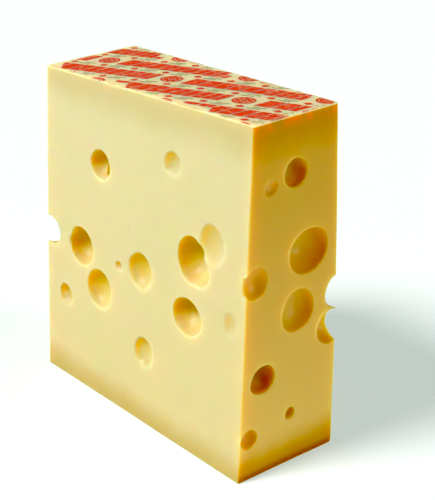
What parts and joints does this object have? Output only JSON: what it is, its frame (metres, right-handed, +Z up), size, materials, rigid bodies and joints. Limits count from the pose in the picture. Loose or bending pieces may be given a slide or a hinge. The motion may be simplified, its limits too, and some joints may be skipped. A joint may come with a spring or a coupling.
{
  "type": "cheese block",
  "caption": "Upright block cut from a wheel of hard cheese, with round eyes open on its wire-cut faces, a printed rind on top and a plain rind underneath.",
  "frame": {"origin": "middle of the foot, on the lower rind, under the middle of the block's box", "axes": "+Z up, from the lower rind to the upper one; +Y through the thickness, so the large cut face looks along -Y; +X along the length, towards the narrow face with the two bites"},
  "size_m": [0.183, 0.0726, 0.2017],
  "materials": {
    "cheese": "pale yellow hard cheese, smooth wire cut, satin, light glows through its edges",
    "rind_print": "matt red and grey-green food ink stamped on the cream rind"
  },
  "bodies": {
    "root": {"cheese_block": "cheese"}
  },
  "joints": []
}
